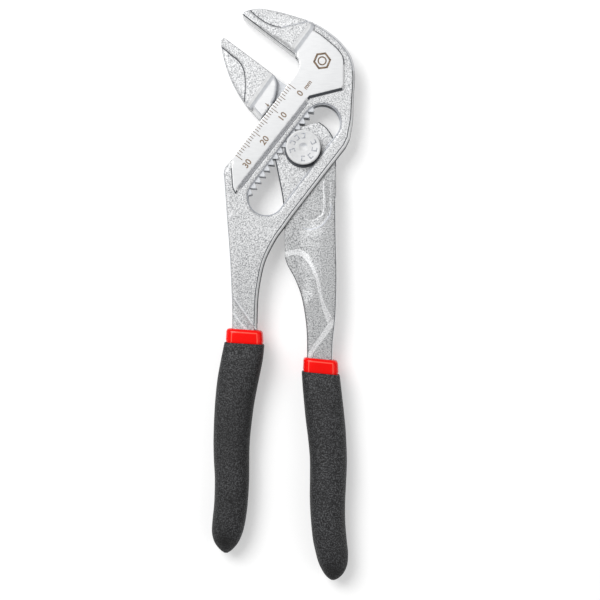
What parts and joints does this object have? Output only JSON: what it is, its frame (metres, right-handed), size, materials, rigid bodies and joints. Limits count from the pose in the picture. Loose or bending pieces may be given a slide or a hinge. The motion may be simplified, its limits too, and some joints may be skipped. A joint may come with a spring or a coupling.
{
  "type": "tongue and groove pliers",
  "caption": "Adjustable parallel-jaw pliers with a graduated slide, a push-button lock in a toothed window and two-layer sleeves on both handles.",
  "frame": {"origin": "centre of the bounding box on the plane the tool lies on", "axes": "+Y along the handles towards the jaws, +X to the right of the graduated side, +Z out of the graduated side"},
  "size_m": [0.0486, 0.1942, 0.013],
  "materials": {
    "forged_steel": "satin plated forging with ground flats",
    "bolt_steel": "turned",
    "button_steel": "satin",
    "spring_steel": "drawn wire",
    "red_sleeve": "gloss",
    "black_sleeve": "fine grain"
  },
  "bodies": {
    "fixed_lever": {"fixed_lever": "forged_steel", "fixed_grip_inner": "red_sleeve", "fixed_grip_outer": "black_sleeve"},
    "hinge": {"hinge_bolt": "bolt_steel", "button_spring": "spring_steel"},
    "push_button": {"push_button": "button_steel", "retaining_ring": "spring_steel"},
    "cam_lever": {"cam_lever": "forged_steel", "cam_grip_inner": "red_sleeve", "cam_grip_outer": "black_sleeve"},
    "sliding_jaw": {"sliding_jaw": "forged_steel"}
  },
  "joints": [
    {"name": "jaw_adjust", "type": "slide", "parent": "fixed_lever", "child": "hinge", "axis": [-0.6018, -0.7986, 0], "range_m": [-0.0097, 0.02]},
    {"name": "handle_swing", "type": "hinge", "parent": "hinge", "child": "cam_lever", "pos_m": [0.00671, 0.0501, 0.0065], "axis": [0, 0, 1], "range_deg": [0, 20]},
    {"name": "jaw_feed", "type": "slide", "parent": "hinge", "child": "sliding_jaw", "axis": [-0.6018, -0.7986, 0], "range_m": [-0.0001, 0.0037]},
    {"name": "button_press", "type": "slide", "parent": "hinge", "child": "push_button", "axis": [0, 0, -1], "range_m": [0, 0.0013], "stiffness_N_per_m": 800, "springref_m": -0.002, "deforming": ["button_spring"]}
  ],
  "couplings": [
    {"joint": "jaw_feed", "follows": "handle_swing", "m_per_rad": 0.0102}
  ]
}
